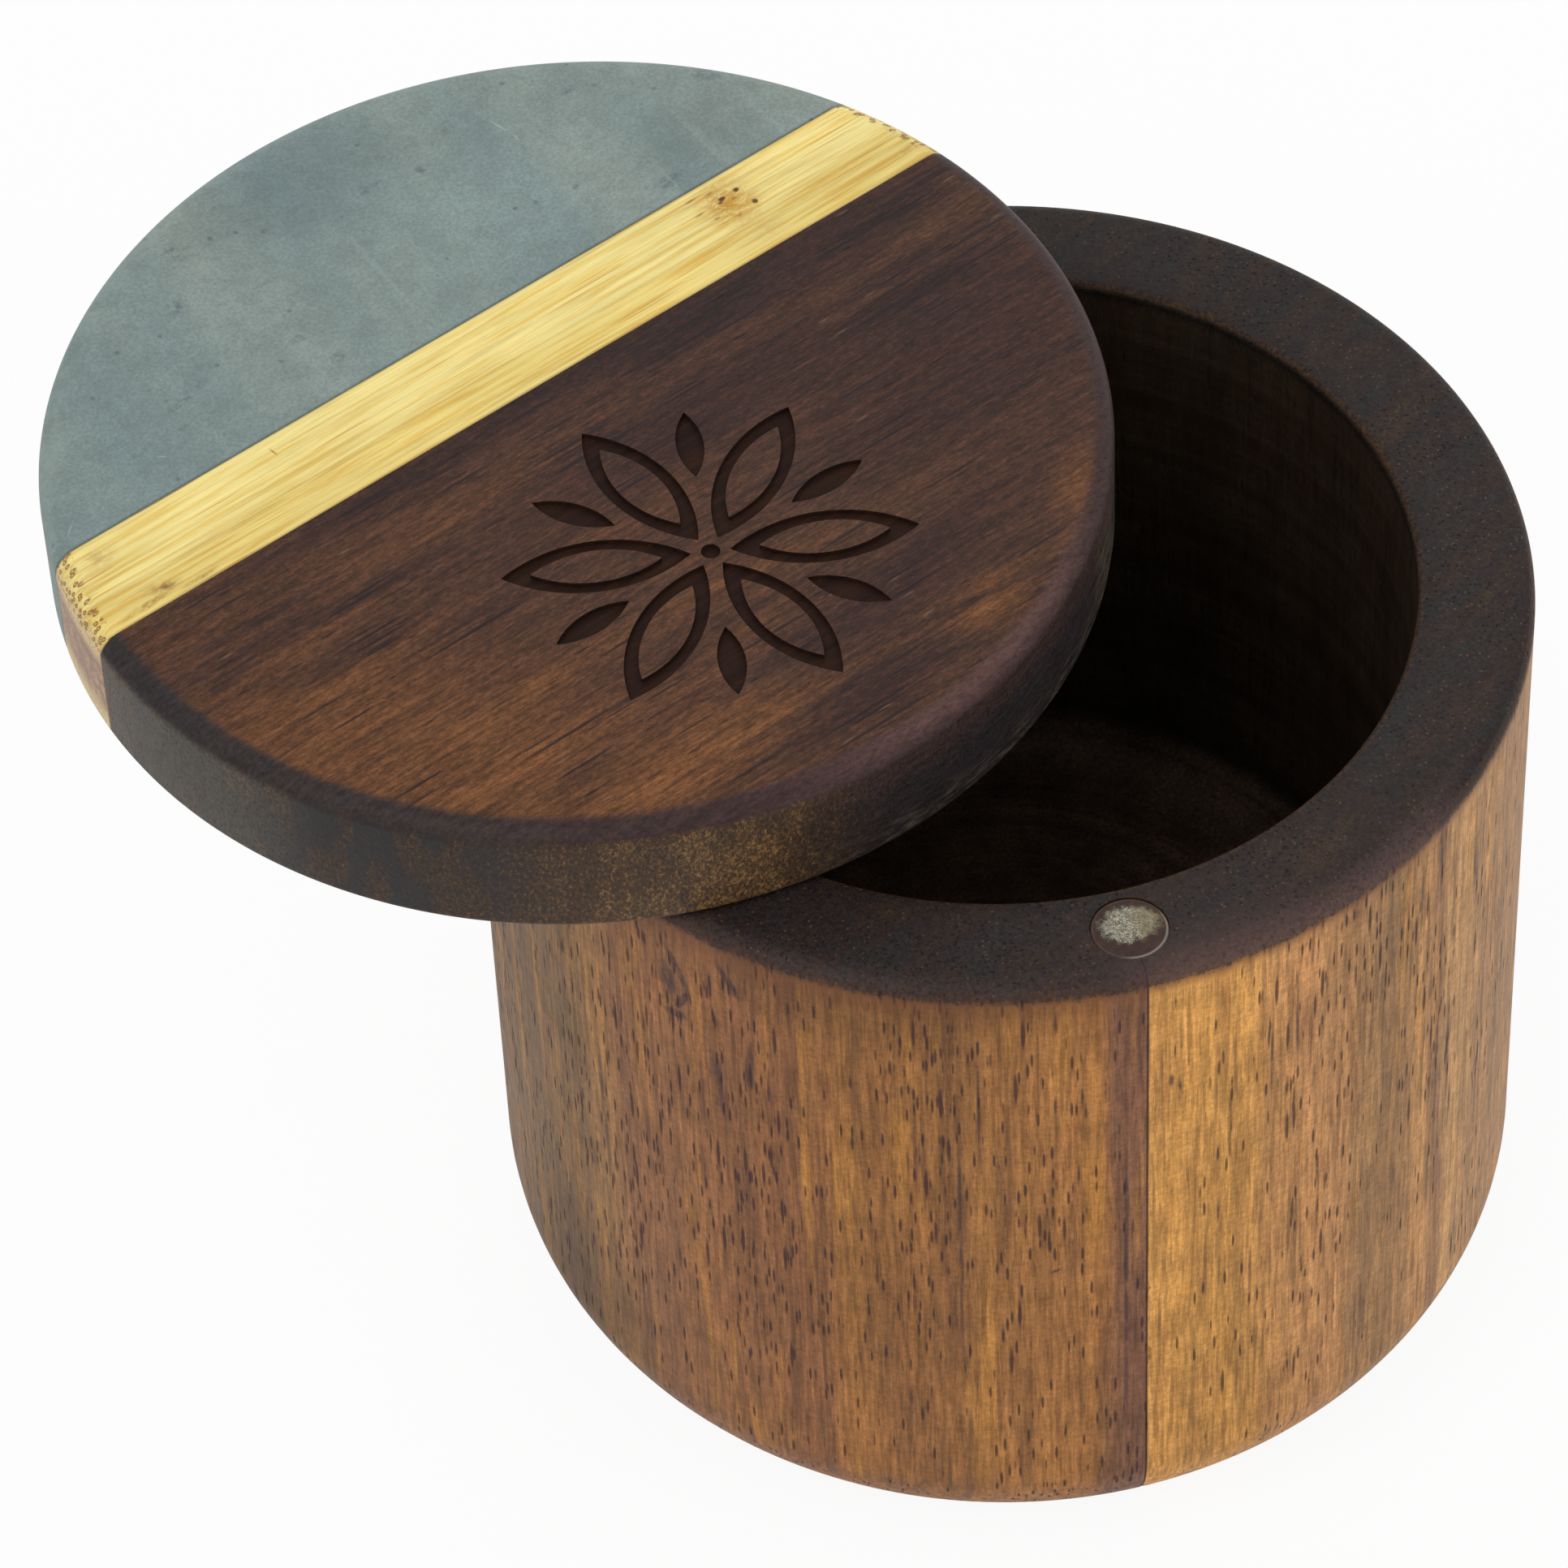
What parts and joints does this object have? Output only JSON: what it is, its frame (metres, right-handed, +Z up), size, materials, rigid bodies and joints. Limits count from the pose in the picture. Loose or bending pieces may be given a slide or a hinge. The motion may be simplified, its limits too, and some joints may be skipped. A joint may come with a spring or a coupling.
{
  "type": "salt box",
  "caption": "Round turned wooden salt box with a rounded foot and a flat stone, bamboo and dark wood lid that swings sideways on a hidden pin and closes on a magnet.",
  "frame": {"origin": "centre of the flat base", "axes": "+Z up along the box's axis, +Y towards the pivot pin in the back wall, -Y towards the rim magnet at the front"},
  "size_m": [0.1204, 0.1048, 0.0876],
  "materials": {
    "box_wood": "oiled, satin",
    "box_wood_light": "oiled, satin",
    "slate": "honed, matt",
    "bamboo": "oiled, satin",
    "dark_wood": "oiled, satin",
    "magnet_metal": "plated, stained by the wood finish",
    "pin_steel": "ground",
    "bush_brass": "turned"
  },
  "bodies": {
    "box": {"box_left_half": "box_wood", "box_right_half": "box_wood_light", "pivot_pin": "pin_steel", "rim_magnet": "magnet_metal"},
    "lid": {"lid_slate": "slate", "lid_bamboo_wide_strip": "bamboo", "lid_bamboo_narrow_strip": "bamboo", "lid_dark_wood": "dark_wood", "lid_magnet": "magnet_metal", "pivot_bush": "bush_brass"}
  },
  "joints": [
    {"name": "lid_swivel", "type": "hinge", "parent": "box", "child": "lid", "pos_m": [0, 0.03913, 0.0765], "axis": [0, 0, 1], "continuous": true}
  ]
}
